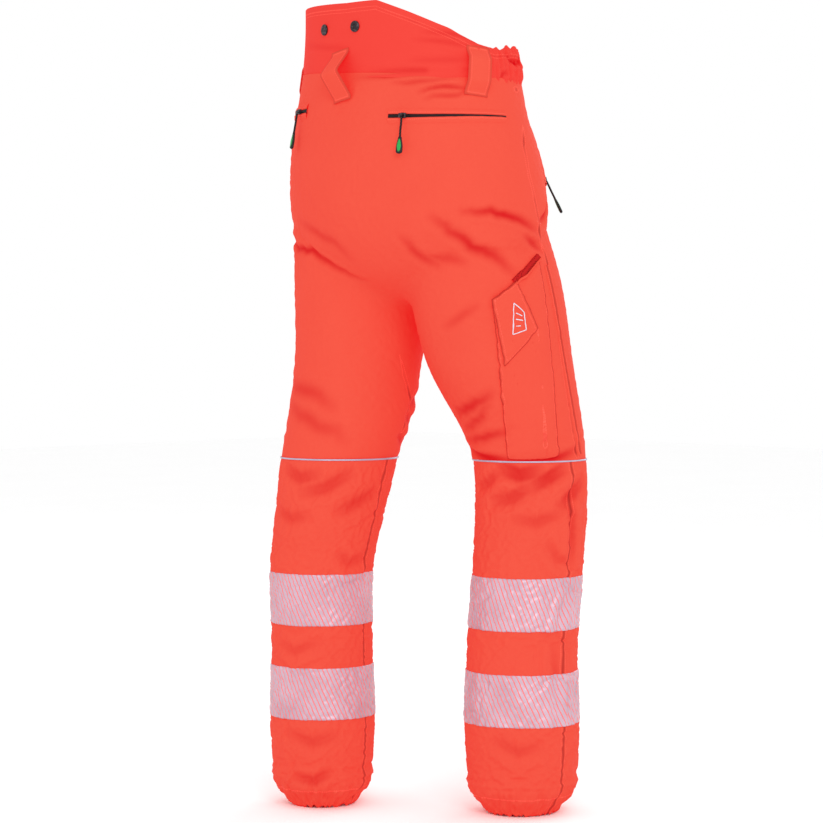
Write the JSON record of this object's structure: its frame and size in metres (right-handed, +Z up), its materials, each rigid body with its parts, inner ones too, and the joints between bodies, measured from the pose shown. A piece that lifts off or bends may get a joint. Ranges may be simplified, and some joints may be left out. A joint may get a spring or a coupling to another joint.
{
  "type": "chainsaw trousers",
  "caption": "High-visibility chainsaw trousers with a high elastic back, cut-protection pads, zipped pockets, cargo pocket with flap, reflective bands and gathered hems.",
  "frame": {"origin": "middle of the outline seen from above, on the surface that the hems stand on", "axes": "+Z up, -Y to the front of the trousers, -X to the wearer's right"},
  "size_m": [0.4302, 0.3725, 1.163],
  "materials": {
    "orange_cloth": "woven high-visibility red-orange work cloth",
    "lining_cloth": "thin dark red mesh lining",
    "protection_pad": "layered cut-protection fibres in a thin cover",
    "elastic": "woven elastic",
    "reflective_tape": "retroreflective tape with a diagonal line pattern",
    "zip_tape": "black coil zip on woven tape",
    "dark_metal": "black coated metal",
    "cord": "twisted dark cord",
    "tag": "moulded black pull tag"
  },
  "bodies": {
    "trousers": {"back_yoke": "orange_cloth", "belt_loops": "orange_cloth", "brace_studs": "dark_metal", "cargo_pocket": "orange_cloth", "crotch_gusset": "orange_cloth", "fly_placket": "orange_cloth", "fly_zip": "zip_tape", "front_panel_left": "orange_cloth", "front_panel_right": "orange_cloth", "hand_pocket_bags": "lining_cloth", "hand_zip_left": "zip_tape", "hand_zip_right": "zip_tape", "high_back": "orange_cloth", "knee_bend_left": "orange_cloth", "knee_bend_right": "orange_cloth", "knee_piping": "reflective_tape", "outseam_welts": "orange_cloth", "rear_pocket_bags": "lining_cloth", "rear_zip_left": "zip_tape", "rear_zip_right": "zip_tape", "seat_panel_left": "orange_cloth", "seat_panel_right": "orange_cloth", "side_gathers": "orange_cloth", "thigh_back_left": "orange_cloth", "thigh_back_right": "orange_cloth", "thigh_pad_left": "protection_pad", "thigh_pad_right": "protection_pad", "upper_lining": "lining_cloth", "waist_elastics": "elastic", "waist_snap": "dark_metal", "waistband_front": "orange_cloth"},
    "lower_leg_left": {"shin_front_left": "orange_cloth", "shin_back_left": "orange_cloth", "hem_cuff_left": "orange_cloth", "reflective_bands_left": "reflective_tape", "shin_pad_left": "protection_pad", "lower_lining_left": "lining_cloth", "hem_elastic_left": "elastic"},
    "rear_slider_body_left": {"rear_slider_left": "dark_metal"},
    "rear_pull_left": {"rear_cord_left": "cord", "rear_tag_left": "tag"},
    "hand_slider_body_left": {"hand_slider_left": "dark_metal"},
    "hand_pull_left": {"hand_cord_left": "cord", "hand_tag_left": "tag"},
    "lower_leg_right": {"shin_front_right": "orange_cloth", "shin_back_right": "orange_cloth", "hem_cuff_right": "orange_cloth", "reflective_bands_right": "reflective_tape", "shin_pad_right": "protection_pad", "lower_lining_right": "lining_cloth", "hem_elastic_right": "elastic"},
    "rear_slider_body_right": {"rear_slider_right": "dark_metal"},
    "rear_pull_right": {"rear_cord_right": "cord", "rear_tag_right": "tag"},
    "hand_slider_body_right": {"hand_slider_right": "dark_metal"},
    "hand_pull_right": {"hand_cord_right": "cord", "hand_tag_right": "tag"},
    "fly_runner": {"fly_slider": "dark_metal"},
    "flap": {"cargo_flap": "orange_cloth"}
  },
  "joints": [
    {"name": "knee_left", "type": "hinge", "parent": "trousers", "child": "lower_leg_left", "pos_m": [0.12, 0.0685, 0.4435], "axis": [1, 0, 0], "range_deg": [0, 70], "deforming": ["knee_bend_left"]},
    {"name": "knee_right", "type": "hinge", "parent": "trousers", "child": "lower_leg_right", "pos_m": [-0.12, -0.098, 0.4435], "axis": [1, 0, 0], "range_deg": [0, 70], "deforming": ["knee_bend_right"]},
    {"name": "rear_zip_left_slide", "type": "hinge", "parent": "trousers", "child": "rear_slider_body_left", "pos_m": [0.0518, 0.01257, 1.013], "axis": [0, 0, -1], "range_deg": [-6, 55]},
    {"name": "rear_pull_left_swing", "type": "hinge", "parent": "rear_slider_body_left", "child": "rear_pull_left", "pos_m": [0.10743, 0.14821, 1.013], "axis": [0.9252, -0.3795, 0], "range_deg": [0, 100]},
    {"name": "rear_zip_right_slide", "type": "hinge", "parent": "trousers", "child": "rear_slider_body_right", "pos_m": [-0.0518, 0.01257, 0.997], "axis": [0, 0, 1], "range_deg": [-6, 55]},
    {"name": "rear_pull_right_swing", "type": "hinge", "parent": "rear_slider_body_right", "child": "rear_pull_right", "pos_m": [-0.10883, 0.15163, 0.997], "axis": [0.9252, 0.3795, 0], "range_deg": [0, 100]},
    {"name": "hand_zip_left_slide", "type": "slide", "parent": "trousers", "child": "hand_slider_body_left", "axis": [-0.3339, -0.0264, 0.9422], "range_m": [0, 0.112]},
    {"name": "hand_pull_left_swing", "type": "hinge", "parent": "hand_slider_body_left", "child": "hand_pull_left", "pos_m": [0.17439, -0.07256, 0.9148], "axis": [-0.747, -0.6649, 0], "range_deg": [-10, 80]},
    {"name": "hand_zip_right_slide", "type": "slide", "parent": "trousers", "child": "hand_slider_body_right", "axis": [0.3339, -0.0264, 0.9422], "range_m": [0, 0.112]},
    {"name": "hand_pull_right_swing", "type": "hinge", "parent": "hand_slider_body_right", "child": "hand_pull_right", "pos_m": [-0.17439, -0.07256, 0.9148], "axis": [-0.747, 0.6649, 0], "range_deg": [-10, 80]},
    {"name": "fly_slide", "type": "slide", "parent": "trousers", "child": "fly_runner", "axis": [0, -0.1719, -0.9851], "range_m": [0, 0.115]},
    {"name": "cargo_flap_hinge", "type": "hinge", "parent": "trousers", "child": "flap", "pos_m": [-0.20107, 0.03386, 0.75465], "axis": [0.3035, 0.7094, -0.636], "range_deg": [0, 120]}
  ]
}
